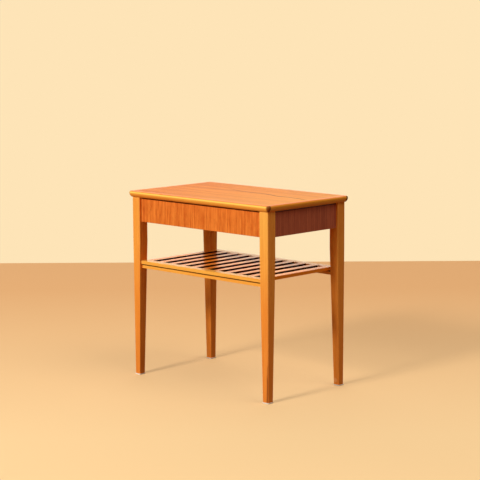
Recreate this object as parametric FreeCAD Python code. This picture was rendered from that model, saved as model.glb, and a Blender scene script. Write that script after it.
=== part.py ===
import FreeCAD, Part
import os

# Teak sewing table with one drawer and a slatted shelf.
# Millimetres. +X runs along the long sides, +Y points to the back, +Z is up.
# The origin is on the floor, under the middle of the table top.

# ---- overall size ----
TABLE_LENGTH = 540.0
TABLE_DEPTH = 322.0
TABLE_HEIGHT = 525.0

# ---- table top ----
CORE_THICKNESS = 15.0
VENEER_THICKNESS = 0.8
TOP_THICKNESS = CORE_THICKNESS + 2 * VENEER_THICKNESS
MOULDING_WIDTH = 12.0
MOULDING_TOP_RADIUS = 5.0
MOULDING_UNDERCUT = 6.5
MOULDING_CORNER_RADIUS = 10.0
TONGUE_LENGTH = 4.0
TONGUE_THICKNESS = 5.0

# ---- legs and floor pads ----
TOP_OVERHANG = 8.5
LEG_TOP_WIDTH = 29.5
LEG_FOOT_WIDTH = 19.0
LEG_OUTER_TAPER = 1.5
LEG_STRAIGHT_LENGTH = 125.4
LEG_OUTER_RADIUS = 3.5
LEG_INNER_RADIUS = 1.2
PAD_OVERHANG = 0.7
PAD_THICKNESS = 3.0
PAD_CORNER_RADIUS = 1.5
PAD_EDGE_RADIUS = 0.5

# ---- aprons and cross rails ----
APRON_HEIGHT = 69.4
APRON_THICKNESS = 16.0
APRON_RECESS = 6.5
CROSS_RAIL_THICKNESS = 12.0
CROSS_RAIL_END_GAP = 2.5
FRONT_CROSS_RAIL_WIDTH = 45.0
REAR_CROSS_RAIL_WIDTH = 30.0
CROSS_TENON_LENGTH = 7.0
CROSS_TENON_THICKNESS = 6.0
CROSS_TENON_SHOULDER = 4.0

# ---- drawer ----
DRAWER_FRONT_THICKNESS = 16.0
DRAWER_BOARD_THICKNESS = 10.0
DRAWER_BOTTOM_THICKNESS = 4.0
DRAWER_BOTTOM_LIFT = 10.0
DRAWER_GROOVE_DEPTH = 5.0
DIVIDER_THICKNESS = 5.0
DIVIDER_HOUSING = 2.0
LONG_DIVIDER_HOUSING = 1.5
FRONT_COMPARTMENT_DEPTH = 65.5
REAR_COMPARTMENT_COUNT = 4
FINGER_COVE_RADIUS = 7.0
FINGER_COVE_LENGTH = 160.0

# ---- drawer corner joints ----
TAIL_COUNT = 3
TAIL_LENGTH = 10.0
TAIL_ROOT_WIDTH = 8.0
TAIL_END_WIDTH = 11.0
PIN_ROOT_WIDTH = 7.0
PIN_END_WIDTH = 4.6
PIN_EDGE_ROOT = 5.0
PIN_EDGE_END = 3.8
PIN_GROOVE_WALL = 2.7

# ---- drawer runners, stops and catches ----
RUNNER_HEIGHT = 9.0
RUNNER_LIFT = 24.0
RUNNER_ENGAGEMENT = 5.5
RUNNER_GROOVE_DEPTH = 6.0
STOP_WIDTH = 22.0
STOP_HEIGHT = 24.0
STOP_THICKNESS = 13.5
STOP_INSET = 89.0
CATCH_WIDTH = 22.0
CATCH_DEPTH = 12.0
CATCH_HEIGHT = 8.4
CATCH_INSET = 119.0

# ---- stretchers and slatted shelf ----
SHELF_DROP = 110.0
SHELF_THICKNESS = 9.5
SHELF_BOARD_WIDTH = 22.0
SHELF_BOARD_RECESS = 4.5
SLAT_COUNT = 11
SLAT_WIDTH = 22.0
SLAT_END_GAP = 3.0
SLAT_TENON_LENGTH = 8.0
SLAT_TENON_WIDTH = 14.0
SLAT_TENON_THICKNESS = 5.0
STRETCHER_HEIGHT = 12.0
STRETCHER_WIDTH = 15.0
STRETCHER_RECESS = 10.0
STRETCHER_TENON_LENGTH = 11.0
STRETCHER_TENON_SHOULDER = 2.0

# ---- dowels ----
DOWEL_RADIUS = 4.0
DOWEL_LENGTH = 30.0
DOWEL_CHAMFER = 0.8
SIDE_DOWEL_LOWER_LIFT = 13.0
SIDE_DOWEL_UPPER_LIFT = 47.0
BACK_DOWEL_LOWER_LIFT = 25.0
BACK_DOWEL_UPPER_LIFT = 59.0

# ---- screws and nails ----
TOP_SCREW_LENGTH = 24.0
TOP_SCREW_RADIUS = 2.0
TOP_SCREW_HEAD_RADIUS = 4.0
TOP_SCREW_END_INSET = 79.0
RUNNER_SCREW_LENGTH = 24.0
RUNNER_SCREW_RADIUS = 1.6
RUNNER_SCREW_HEAD_RADIUS = 3.4
RUNNER_SCREW_END_INSET = 24.0
SHELF_SCREW_LENGTH = 18.0
SHELF_SCREW_RADIUS = 1.5
SHELF_SCREW_HEAD_RADIUS = 3.0
SHELF_SCREW_END_INSET = 36.0
SHELF_SCREW_EDGE_INSET = 5.5
CATCH_SCREW_LENGTH = 15.0
CATCH_SCREW_RADIUS = 1.5
CATCH_SCREW_HEAD_RADIUS = 3.0
SCREW_SLOT_WIDTH = 0.8
SCREW_SLOT_DEPTH = 0.8
SCREW_TIP_LENGTH = 3.0
SCREW_TIP_RADIUS = 0.3
BOTTOM_NAIL_LENGTH = 18.0
BOTTOM_NAIL_RADIUS = 0.8
BOTTOM_NAIL_HEAD_RADIUS = 1.6
BOTTOM_NAIL_HEAD_DEPTH = 0.8
BOTTOM_NAIL_END_INSET = 72.3
PAD_NAIL_LENGTH = 20.0
PAD_NAIL_RADIUS = 1.2
PAD_NAIL_HEAD_RADIUS = 3.0
PAD_NAIL_HEAD_DEPTH = 1.0
PAD_NAIL_RECESS = 0.8

# ---- clearances ----
DRAWER_SIDE_GAP = 1.2
DRAWER_FRONT_TOP_GAP = 3.0
DRAWER_UNDER_GAP = 4.0
DRAWER_OVER_GAP = 3.4
DIVIDER_OVER_GAP = 5.0
STOP_GAP = 0.5
RUNNER_END_GAP = 0.5
RUNNER_GROOVE_START_GAP = 1.0
RUNNER_SLIDE_GAP = 0.3
DOWEL_FIT = 0.05
DOWEL_END_GAP = 0.5
SCREW_FIT = 0.05
JOINT_FIT = 0.1
GROOVE_FIT = 0.1
EASED_EDGE = 0.8

# ---- table top, worked out ----
HALF_LENGTH = TABLE_LENGTH / 2
HALF_DEPTH = TABLE_DEPTH / 2
TOP_UNDERSIDE = TABLE_HEIGHT - TOP_THICKNESS
CORE_HALF_LENGTH = HALF_LENGTH - MOULDING_WIDTH
CORE_HALF_DEPTH = HALF_DEPTH - MOULDING_WIDTH
CORE_BOTTOM = TOP_UNDERSIDE + VENEER_THICKNESS
CORE_TOP = TABLE_HEIGHT - VENEER_THICKNESS
TONGUE_BOTTOM = (TOP_UNDERSIDE + TABLE_HEIGHT - TONGUE_THICKNESS) / 2

# ---- legs and pads, worked out ----
LEG_OUTER_X = HALF_LENGTH - TOP_OVERHANG
LEG_OUTER_Y = HALF_DEPTH - TOP_OVERHANG
LEG_INNER_X = LEG_OUTER_X - LEG_TOP_WIDTH
LEG_INNER_Y = LEG_OUTER_Y - LEG_TOP_WIDTH
LEG_TAPER_START = TOP_UNDERSIDE - LEG_STRAIGHT_LENGTH
FOOT_X = LEG_OUTER_X - LEG_OUTER_TAPER - LEG_FOOT_WIDTH / 2
FOOT_Y = LEG_OUTER_Y - LEG_OUTER_TAPER - LEG_FOOT_WIDTH / 2
FOOT_INNER_X = FOOT_X - LEG_FOOT_WIDTH / 2

# ---- aprons and cross rails, worked out ----
APRON_BOTTOM = TOP_UNDERSIDE - APRON_HEIGHT
SIDE_APRON_OUTER = LEG_OUTER_X - APRON_RECESS
SIDE_APRON_INNER = SIDE_APRON_OUTER - APRON_THICKNESS
SIDE_APRON_MIDDLE = SIDE_APRON_OUTER - APRON_THICKNESS / 2
BACK_APRON_OUTER = LEG_OUTER_Y - APRON_RECESS
BACK_APRON_INNER = BACK_APRON_OUTER - APRON_THICKNESS
BACK_APRON_MIDDLE = BACK_APRON_OUTER - APRON_THICKNESS / 2
SIDE_DOWEL_LEVELS = (APRON_BOTTOM + SIDE_DOWEL_LOWER_LIFT, APRON_BOTTOM + SIDE_DOWEL_UPPER_LIFT)
BACK_DOWEL_LEVELS = (APRON_BOTTOM + BACK_DOWEL_LOWER_LIFT, APRON_BOTTOM + BACK_DOWEL_UPPER_LIFT)
CROSS_RAIL_BOTTOM = TOP_UNDERSIDE - CROSS_RAIL_THICKNESS
CROSS_TENON_BOTTOM = CROSS_RAIL_BOTTOM + (CROSS_RAIL_THICKNESS - CROSS_TENON_THICKNESS) / 2
FRONT_CROSS_RAIL_START = -LEG_INNER_Y + CROSS_RAIL_END_GAP
FRONT_CROSS_RAIL_END = FRONT_CROSS_RAIL_START + FRONT_CROSS_RAIL_WIDTH
REAR_CROSS_RAIL_END = LEG_INNER_Y - CROSS_RAIL_END_GAP
REAR_CROSS_RAIL_START = REAR_CROSS_RAIL_END - REAR_CROSS_RAIL_WIDTH
TOP_SCREW_X = SIDE_APRON_INNER - TOP_SCREW_END_INSET
TOP_SCREW_ROWS = (
    (FRONT_CROSS_RAIL_START + FRONT_CROSS_RAIL_END) / 2,
    (REAR_CROSS_RAIL_START + REAR_CROSS_RAIL_END) / 2,
)

# ---- drawer, its stops and its runners, worked out ----
DRAWER_OUTER_X = LEG_INNER_X - DRAWER_SIDE_GAP
DRAWER_INNER_X = DRAWER_OUTER_X - DRAWER_BOARD_THICKNESS
DRAWER_FRONT_FACE = -LEG_OUTER_Y + APRON_RECESS
DRAWER_FRONT_REAR = DRAWER_FRONT_FACE + DRAWER_FRONT_THICKNESS
DRAWER_REAR = BACK_APRON_INNER - STOP_THICKNESS - STOP_GAP
DRAWER_BACK_FACE = DRAWER_REAR - DRAWER_BOARD_THICKNESS
DRAWER_BACK_MIDDLE = DRAWER_REAR - DRAWER_BOARD_THICKNESS / 2
DRAWER_SIDE_BOTTOM = APRON_BOTTOM + DRAWER_UNDER_GAP
DRAWER_SIDE_TOP = CROSS_RAIL_BOTTOM - DRAWER_OVER_GAP
DRAWER_BOTTOM_LEVEL = DRAWER_SIDE_BOTTOM + DRAWER_BOTTOM_LIFT
DRAWER_BOTTOM_UNDERSIDE = DRAWER_BOTTOM_LEVEL - DRAWER_BOTTOM_THICKNESS
CATCH_BOTTOM = CROSS_RAIL_BOTTOM - CATCH_HEIGHT
CATCH_REAR = FRONT_CROSS_RAIL_END
CATCH_X = SIDE_APRON_INNER - CATCH_INSET
STOP_X = SIDE_APRON_INNER - STOP_INSET
DIVIDER_TOP = CATCH_BOTTOM - DIVIDER_OVER_GAP
LONG_DIVIDER_Y = DRAWER_FRONT_REAR + FRONT_COMPARTMENT_DEPTH + DIVIDER_THICKNESS / 2
REAR_DIVIDER_PITCH = 2 * DRAWER_INNER_X / REAR_COMPARTMENT_COUNT
BOTTOM_NAIL_X = DRAWER_INNER_X - BOTTOM_NAIL_END_INSET
TAIL_PITCH = (DRAWER_SIDE_TOP - DRAWER_SIDE_BOTTOM) / TAIL_COUNT
RUNNER_LEVEL = DRAWER_SIDE_BOTTOM + RUNNER_LIFT
RUNNER_INNER = DRAWER_OUTER_X - RUNNER_ENGAGEMENT
RUNNER_HALF_LENGTH = LEG_INNER_Y - RUNNER_END_GAP
RUNNER_GROOVE_HEIGHT = RUNNER_HEIGHT + 2 * RUNNER_SLIDE_GAP
RUNNER_SCREW_Y = RUNNER_HALF_LENGTH - RUNNER_SCREW_END_INSET
PIN_MIDDLE_LEVEL = RUNNER_LEVEL + RUNNER_GROOVE_HEIGHT / 2 + PIN_GROOVE_WALL + PIN_ROOT_WIDTH / 2

# ---- shelf, worked out ----
SHELF_TOP = APRON_BOTTOM - SHELF_DROP
STRETCHER_TOP = SHELF_TOP - SHELF_THICKNESS
STRETCHER_BOTTOM = STRETCHER_TOP - STRETCHER_HEIGHT
STRETCHER_OUTER_Y = LEG_OUTER_Y - STRETCHER_RECESS
STRETCHER_INNER_Y = STRETCHER_OUTER_Y - STRETCHER_WIDTH
SHELF_BOARD_OUTER_Y = LEG_OUTER_Y - SHELF_BOARD_RECESS
SHELF_BOARD_INNER_Y = SHELF_BOARD_OUTER_Y - SHELF_BOARD_WIDTH
SHELF_BOARD_HALF_LENGTH = LEG_INNER_X
SLAT_OUTERMOST_X = SHELF_BOARD_HALF_LENGTH - SLAT_END_GAP - SLAT_WIDTH / 2
SLAT_PITCH = 2 * SLAT_OUTERMOST_X / (SLAT_COUNT - 1)
SHELF_SCREW_X = SHELF_BOARD_HALF_LENGTH - SHELF_SCREW_END_INSET
SHELF_SCREW_Y = STRETCHER_OUTER_Y - SHELF_SCREW_EDGE_INSET

# ---- fastener sizes, grouped ----
TOP_SCREW = (TOP_SCREW_LENGTH, TOP_SCREW_RADIUS, TOP_SCREW_HEAD_RADIUS)
RUNNER_SCREW = (RUNNER_SCREW_LENGTH, RUNNER_SCREW_RADIUS, RUNNER_SCREW_HEAD_RADIUS)
SHELF_SCREW = (SHELF_SCREW_LENGTH, SHELF_SCREW_RADIUS, SHELF_SCREW_HEAD_RADIUS)
CATCH_SCREW = (CATCH_SCREW_LENGTH, CATCH_SCREW_RADIUS, CATCH_SCREW_HEAD_RADIUS)
BOTTOM_NAIL = (
    BOTTOM_NAIL_LENGTH, BOTTOM_NAIL_RADIUS, BOTTOM_NAIL_HEAD_RADIUS, BOTTOM_NAIL_HEAD_DEPTH)
PAD_NAIL = (PAD_NAIL_LENGTH, PAD_NAIL_RADIUS, PAD_NAIL_HEAD_RADIUS, PAD_NAIL_HEAD_DEPTH)

X_AXIS = FreeCAD.Vector(1, 0, 0)
Y_AXIS = FreeCAD.Vector(0, 1, 0)
Z_AXIS = FreeCAD.Vector(0, 0, 1)
ORIGIN = FreeCAD.Vector(0, 0, 0)


# ---- building helpers ----
def block(x, y, z):
    """A box from three (low, high) pairs."""
    corner = FreeCAD.Vector(x[0], y[0], z[0])
    return Part.makeBox(x[1] - x[0], y[1] - y[0], z[1] - z[0], corner)


def eased(shape, axis, radius=EASED_EDGE):
    """Round the straight edges of a box that run along one axis."""
    edges = []
    for edge in shape.Edges:
        run = edge.Vertexes[1].Point.sub(edge.Vertexes[0].Point)
        if abs(run.dot(axis)) > 0.999 * run.Length:
            edges.append(edge)
    return shape.makeFillet(radius, edges)


def prism(points, sweep):
    """A solid swept from a closed polygon of 3-D points."""
    wire = Part.makePolygon(points + [points[0]])
    return Part.Face(wire).extrude(sweep)


def flipped(shape, axis):
    """The mirror image of a shape across the plane normal to an axis."""
    return shape.mirror(ORIGIN, axis)


def joined(shapes):
    """One clean solid from touching pieces."""
    return shapes[0].fuse(shapes[1:]).removeSplitter()


def cut_all(shape, tools):
    """A shape with every tool removed from it."""
    for tool in tools:
        shape = shape.cut(tool)
    return shape


def save(name, shapes):
    """Write one node, made of one or more separate solids."""
    solids = shapes if isinstance(shapes, list) else [shapes]
    shape = solids[0] if len(solids) == 1 else Part.makeCompound(solids)
    shape.exportStep("parts/" + name + ".step")


# ---- fasteners ----
def turned(shape, point, direction):
    """Turn a shape built up the Z axis so it points along a direction."""
    turn = FreeCAD.Rotation(Z_AXIS, direction)
    shape.Placement = FreeCAD.Placement(point, turn)
    return shape


def dowel(middle, direction):
    """A chamfered wooden dowel centred on a point."""
    half = DOWEL_LENGTH / 2
    body = Part.makeCylinder(DOWEL_RADIUS, DOWEL_LENGTH, FreeCAD.Vector(0, 0, -half))
    rims = [edge for edge in body.Edges if len(edge.Vertexes) == 1]
    body = body.makeChamfer(DOWEL_CHAMFER, rims)
    return turned(body, middle, direction)


def dowel_hole(middle, direction):
    """The hole for one dowel, through both pieces it joins."""
    length = DOWEL_LENGTH + 2 * DOWEL_END_GAP
    base = FreeCAD.Vector(0, 0, -length / 2)
    hole = Part.makeCylinder(DOWEL_RADIUS + DOWEL_FIT, length, base)
    return turned(hole, middle, direction)


def screw_body(size, grow):
    """A countersunk screw outline with its head face at the origin."""
    length, shank_radius, head_radius = size
    radius = shank_radius + grow
    head = head_radius + grow
    cone = Part.makeCone(head, radius, head - radius)
    shank_length = length - SCREW_TIP_LENGTH
    shank = Part.makeCylinder(radius, shank_length)
    tip_base = FreeCAD.Vector(0, 0, shank_length)
    tip = Part.makeCone(radius, SCREW_TIP_RADIUS + grow, SCREW_TIP_LENGTH + grow, tip_base)
    return joined([cone, shank, tip])


def screw(size, point, direction):
    """A slotted countersunk screw driven from a point."""
    half = SCREW_SLOT_WIDTH / 2
    slot = block((-size[2], size[2]), (-half, half), (0, SCREW_SLOT_DEPTH))
    return turned(screw_body(size, 0).cut(slot), point, direction)


def screw_hole(size, point, direction):
    """The countersunk hole for one screw."""
    return turned(screw_body(size, SCREW_FIT), point, direction)


def nail(size, point, grow=0.0):
    """A flat-headed nail pointing up, with its head face at a point."""
    length, shank_radius, head_radius, head_depth = size
    head = Part.makeCylinder(head_radius + grow, head_depth)
    shank = Part.makeCylinder(shank_radius + grow, length + grow)
    return turned(joined([head, shank]), point, Z_AXIS)


# ---- table top ----
def moulding_section(inner):
    """The section of the edge moulding, this far inwards, as a face on the YZ plane.

    Y is measured inwards from the outermost line, Z from the floor."""
    radius = MOULDING_TOP_RADIUS
    widest = TABLE_HEIGHT - radius
    drop = widest - TOP_UNDERSIDE
    lower_radius = (MOULDING_UNDERCUT ** 2 + drop ** 2) / (2 * MOULDING_UNDERCUT)
    half_chord = FreeCAD.Vector(0, MOULDING_UNDERCUT / 2, -drop / 2)
    sag = lower_radius - (lower_radius ** 2 - half_chord.Length ** 2) ** 0.5
    outward = FreeCAD.Vector(0, -drop, -MOULDING_UNDERCUT)
    outward.normalize()
    diagonal = radius * (1 - 0.5 ** 0.5)
    top_inner = FreeCAD.Vector(0, inner, TABLE_HEIGHT)
    top_edge = FreeCAD.Vector(0, radius, TABLE_HEIGHT)
    top_middle = FreeCAD.Vector(0, diagonal, TABLE_HEIGHT - diagonal)
    nose = FreeCAD.Vector(0, 0, widest)
    lower_middle = nose + half_chord + outward * sag
    lower_edge = FreeCAD.Vector(0, MOULDING_UNDERCUT, TOP_UNDERSIDE)
    lower_inner = FreeCAD.Vector(0, inner, TOP_UNDERSIDE)
    edges = [
        Part.makeLine(top_inner, top_edge),
        Part.Arc(top_edge, top_middle, nose).toShape(),
        Part.Arc(nose, lower_middle, lower_edge).toShape(),
        Part.makeLine(lower_edge, lower_inner),
        Part.makeLine(lower_inner, top_inner),
    ]
    return Part.Face(Part.Wire(edges))


def moulding_end(x, half_width, inner):
    """The moulding's section at one x, with its outermost line at y = half_width."""
    section = moulding_section(inner)
    section.rotate(ORIGIN, Z_AXIS, 180)
    return section.translated(FreeCAD.Vector(x, half_width, 0))


def straight_moulding(half_run, half_width, half_tongue):
    """A straight moulding along X, with its outer face at y = half_width, and its tongue."""
    inside = half_width - MOULDING_WIDTH
    tongue_y = (inside - TONGUE_LENGTH, inside)
    tongue = block((-half_tongue, half_tongue), tongue_y, (TONGUE_BOTTOM, TONGUE_BOTTOM + TONGUE_THICKNESS))
    strip = moulding_end(-half_run, half_width, MOULDING_WIDTH).extrude(X_AXIS * (2 * half_run))
    return joined([strip, tongue])


def long_moulding():
    """The back moulding, which runs past the side ones to a rounded corner at each end."""
    corner = MOULDING_CORNER_RADIUS
    straight = HALF_LENGTH - corner
    axis = FreeCAD.Vector(straight, HALF_DEPTH - corner, 0)
    section = moulding_end(straight, HALF_DEPTH, corner)
    bend = section.revolve(axis, Z_AXIS, -90)
    tip = section.rotated(axis, Z_AXIS, -90).extrude(Y_AXIS * (corner - MOULDING_WIDTH))
    right_end = joined([bend, tip])
    middle = straight_moulding(straight, HALF_DEPTH, CORE_HALF_LENGTH - TONGUE_LENGTH)
    return joined([middle, right_end, flipped(right_end, X_AXIS)])


def side_moulding():
    """The right moulding, which fits between the long ones."""
    moulding = straight_moulding(CORE_HALF_DEPTH, HALF_LENGTH, CORE_HALF_DEPTH)
    return moulding.rotated(ORIGIN, Z_AXIS, -90)


def top_core(screw_holes):
    """The core board, grooved all round for the moulding tongues."""
    x = (-CORE_HALF_LENGTH, CORE_HALF_LENGTH)
    y = (-CORE_HALF_DEPTH, CORE_HALF_DEPTH)
    z = (TONGUE_BOTTOM - GROOVE_FIT, TONGUE_BOTTOM + TONGUE_THICKNESS + GROOVE_FIT)
    depth = TONGUE_LENGTH + GROOVE_FIT
    island = block((x[0] + depth, x[1] - depth), (y[0] + depth, y[1] - depth), z)
    groove = block(x, y, z).cut(island)
    return cut_all(block(x, y, (CORE_BOTTOM, CORE_TOP)), [groove] + screw_holes)


def veneer(bottom, screw_holes):
    """One sheet of veneer, as large as the core board."""
    x = (-CORE_HALF_LENGTH, CORE_HALF_LENGTH)
    y = (-CORE_HALF_DEPTH, CORE_HALF_DEPTH)
    return cut_all(block(x, y, (bottom, bottom + VENEER_THICKNESS)), screw_holes)


# ---- legs ----
def leg_section(width, inward, level):
    """The outline of the back right leg at one level, with its outer faces moved inward."""
    high_x = LEG_OUTER_X - inward
    high_y = LEG_OUTER_Y - inward
    low_x = high_x - width
    low_y = high_y - width
    corners = [
        (low_x, low_y, 1, 1, LEG_INNER_RADIUS),
        (high_x, low_y, -1, 1, LEG_INNER_RADIUS),
        (high_x, high_y, -1, -1, LEG_OUTER_RADIUS),
        (low_x, high_y, 1, -1, LEG_INNER_RADIUS),
    ]
    arcs = []
    for number, (x, y, in_x, in_y, radius) in enumerate(corners):
        diagonal = radius * (1 - 0.5 ** 0.5)
        on_x_side = FreeCAD.Vector(x + in_x * radius, y, level)
        on_y_side = FreeCAD.Vector(x, y + in_y * radius, level)
        middle = FreeCAD.Vector(x + in_x * diagonal, y + in_y * diagonal, level)
        first, last = (on_y_side, on_x_side) if number % 2 == 0 else (on_x_side, on_y_side)
        arcs.append((first, middle, last))
    edges = []
    for number, (first, middle, last) in enumerate(arcs):
        following = arcs[(number + 1) % len(arcs)][0]
        edges.append(Part.Arc(first, middle, last).toShape())
        edges.append(Part.makeLine(last, following))
    return Part.Wire(edges)


def leg_blank():
    """The back right leg before its joints are cut."""
    foot = leg_section(LEG_FOOT_WIDTH, LEG_OUTER_TAPER, PAD_THICKNESS)
    bend = leg_section(LEG_TOP_WIDTH, 0, LEG_TAPER_START)
    tapered = Part.makeLoft([foot, bend], True, True)
    straight = Part.Face(bend).extrude(Z_AXIS * (TOP_UNDERSIDE - LEG_TAPER_START))
    return joined([tapered, straight])


def tapered_face(level):
    """The x of the right leg's inner face at a level below the bend."""
    share = (level - PAD_THICKNESS) / (LEG_TAPER_START - PAD_THICKNESS)
    return FOOT_INNER_X + (LEG_INNER_X - FOOT_INNER_X) * share


def stretcher_tenon(x, grow):
    """The tenon of the rear stretcher, or its mortise in the right leg."""
    inset = STRETCHER_TENON_SHOULDER - grow
    y = (STRETCHER_INNER_Y + inset, STRETCHER_OUTER_Y - inset)
    z = (STRETCHER_BOTTOM + inset, STRETCHER_TOP - inset)
    return block(x, y, z)


def pad_nail_point():
    """The head of the nail under the back right leg."""
    return FreeCAD.Vector(FOOT_X, FOOT_Y, PAD_NAIL_RECESS)


def leg(dowel_holes):
    """The back right leg, cut for its joints."""
    mortise_end = LEG_INNER_X + STRETCHER_TENON_LENGTH + JOINT_FIT
    mortise = stretcher_tenon((0, mortise_end), JOINT_FIT)
    nail_hole = nail(PAD_NAIL, pad_nail_point(), SCREW_FIT)
    return cut_all(leg_blank(), dowel_holes + [mortise, nail_hole])


def foot_pad():
    """The pad under the back right leg, with a recess for its nail."""
    half = LEG_FOOT_WIDTH / 2 + PAD_OVERHANG
    pad = block((FOOT_X - half, FOOT_X + half), (FOOT_Y - half, FOOT_Y + half), (0, PAD_THICKNESS))
    pad = eased(pad, Z_AXIS, PAD_CORNER_RADIUS)
    lower_rim = [edge for edge in pad.Edges if edge.BoundBox.ZMax < PAD_EDGE_RADIUS]
    pad = pad.makeFillet(PAD_EDGE_RADIUS, lower_rim)
    below = nail(PAD_NAIL, pad_nail_point(), SCREW_FIT)
    recess_radius = PAD_NAIL_HEAD_RADIUS + SCREW_FIT
    recess = Part.makeCylinder(recess_radius, PAD_NAIL_RECESS, FreeCAD.Vector(FOOT_X, FOOT_Y, 0))
    return cut_all(pad, [below, recess])


# ---- aprons ----
def side_dowel_points():
    """Dowel centres at the back end of the right side apron."""
    return [FreeCAD.Vector(SIDE_APRON_MIDDLE, LEG_INNER_Y, level) for level in SIDE_DOWEL_LEVELS]


def back_dowel_points():
    """Dowel centres at the right end of the back apron."""
    return [FreeCAD.Vector(LEG_INNER_X, BACK_APRON_MIDDLE, level) for level in BACK_DOWEL_LEVELS]


def cross_tenon(y, x, grow):
    """The right tenon of a cross rail, or its mortise in the side apron."""
    reach = (y[0] + CROSS_TENON_SHOULDER - grow, y[1] - CROSS_TENON_SHOULDER + grow)
    bottom = CROSS_TENON_BOTTOM - grow
    return block(x, reach, (bottom, CROSS_TENON_BOTTOM + CROSS_TENON_THICKNESS + grow))


def side_apron(dowel_holes, screw_holes):
    """The right side apron."""
    x = (SIDE_APRON_INNER, SIDE_APRON_OUTER)
    board = block(x, (-LEG_INNER_Y, LEG_INNER_Y), (APRON_BOTTOM, TOP_UNDERSIDE))
    mortise_x = (SIDE_APRON_INNER, SIDE_APRON_INNER + CROSS_TENON_LENGTH + JOINT_FIT)
    front_y = (FRONT_CROSS_RAIL_START, FRONT_CROSS_RAIL_END)
    rear_y = (REAR_CROSS_RAIL_START, REAR_CROSS_RAIL_END)
    mortises = [cross_tenon(front_y, mortise_x, JOINT_FIT), cross_tenon(rear_y, mortise_x, JOINT_FIT)]
    return cut_all(board, mortises + dowel_holes + screw_holes)


def back_apron(dowel_holes):
    """The back apron, between the two back legs."""
    y = (BACK_APRON_INNER, BACK_APRON_OUTER)
    board = block((-LEG_INNER_X, LEG_INNER_X), y, (APRON_BOTTOM, TOP_UNDERSIDE))
    return cut_all(board, dowel_holes)


def cross_rail(y, screw_holes):
    """A flat rail under the top, tenoned into both side aprons."""
    body = block((-SIDE_APRON_INNER, SIDE_APRON_INNER), y, (CROSS_RAIL_BOTTOM, TOP_UNDERSIDE))
    tenon = cross_tenon(y, (0, SIDE_APRON_INNER + CROSS_TENON_LENGTH), 0)
    return cut_all(joined([body, tenon, flipped(tenon, X_AXIS)]), screw_holes)


# ---- drawer ----
def front_tails(grow):
    """The tails at the front of the right drawer side, or their sockets."""
    middle = (DRAWER_SIDE_BOTTOM + DRAWER_SIDE_TOP) / 2
    end_y = DRAWER_FRONT_REAR - TAIL_LENGTH - grow
    root = TAIL_ROOT_WIDTH / 2 + grow
    end = TAIL_END_WIDTH / 2 + grow
    tails = []
    for number in range(TAIL_COUNT):
        level = middle + (number - (TAIL_COUNT - 1) / 2) * TAIL_PITCH
        points = [
            FreeCAD.Vector(DRAWER_INNER_X - grow, DRAWER_FRONT_REAR, level - root),
            FreeCAD.Vector(DRAWER_INNER_X - grow, DRAWER_FRONT_REAR, level + root),
            FreeCAD.Vector(DRAWER_INNER_X - grow, end_y, level + end),
            FreeCAD.Vector(DRAWER_INNER_X - grow, end_y, level - end),
        ]
        tails.append(prism(points, X_AXIS * (DRAWER_BOARD_THICKNESS + grow)))
    return tails


def back_pins(grow):
    """The pins at the right end of the drawer back, or their sockets."""
    edge_root = PIN_EDGE_ROOT + grow
    edge_end = PIN_EDGE_END + grow
    root = PIN_ROOT_WIDTH / 2 + grow
    end = PIN_END_WIDTH / 2 + grow
    low = DRAWER_BOTTOM_LEVEL
    high = DRAWER_SIDE_TOP
    levels = [
        (low - grow, low + edge_root, low - grow, low + edge_end),
        (PIN_MIDDLE_LEVEL - root, PIN_MIDDLE_LEVEL + root, PIN_MIDDLE_LEVEL - end, PIN_MIDDLE_LEVEL + end),
        (high - edge_root, high + grow, high - edge_end, high + grow),
    ]
    pins = []
    for root_low, root_high, end_low, end_high in levels:
        points = [
            FreeCAD.Vector(DRAWER_INNER_X, DRAWER_BACK_FACE - grow, root_low),
            FreeCAD.Vector(DRAWER_INNER_X, DRAWER_BACK_FACE - grow, root_high),
            FreeCAD.Vector(DRAWER_INNER_X, DRAWER_REAR, end_high),
            FreeCAD.Vector(DRAWER_INNER_X, DRAWER_REAR, end_low),
        ]
        pins.append(prism(points, X_AXIS * DRAWER_BOARD_THICKNESS))
    return pins


def bottom_groove():
    """The space the drawer bottom slides into, in the sides and the front."""
    half = DRAWER_INNER_X + DRAWER_GROOVE_DEPTH
    y = (DRAWER_FRONT_REAR - DRAWER_GROOVE_DEPTH, DRAWER_REAR)
    return block((-half, half), y, (DRAWER_BOTTOM_UNDERSIDE - GROOVE_FIT, DRAWER_BOTTOM_LEVEL))


def divider_slot(x, y):
    """A housing for a divider end, open at the top of the drawer."""
    return block(x, y, (DRAWER_BOTTOM_LEVEL, DRAWER_SIDE_TOP))


def around(middle, grow):
    """The (low, high) pair of a divider, or of its housing."""
    half = DIVIDER_THICKNESS / 2 + grow
    return (middle - half, middle + half)


def drawer_front():
    """The drawer front, socketed for the side tails."""
    x = (-DRAWER_OUTER_X, DRAWER_OUTER_X)
    z = (APRON_BOTTOM, TOP_UNDERSIDE - DRAWER_FRONT_TOP_GAP)
    board = block(x, (DRAWER_FRONT_FACE, DRAWER_FRONT_REAR), z)
    front_rim = [edge for edge in board.Edges if edge.BoundBox.YMax < DRAWER_FRONT_FACE + 1]
    board = board.makeFillet(EASED_EDGE, front_rim)
    sockets = front_tails(JOINT_FIT)
    sockets += [flipped(socket, X_AXIS) for socket in sockets]
    slot_y = (DRAWER_FRONT_REAR - DIVIDER_HOUSING - JOINT_FIT, DRAWER_FRONT_REAR)
    slot = divider_slot(around(0, JOINT_FIT), slot_y)
    cove_start = FreeCAD.Vector(-FINGER_COVE_LENGTH / 2, DRAWER_FRONT_REAR, APRON_BOTTOM)
    cove = Part.makeCylinder(FINGER_COVE_RADIUS, FINGER_COVE_LENGTH, cove_start, X_AXIS)
    return cut_all(board, sockets + [bottom_groove(), slot, cove])


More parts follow.
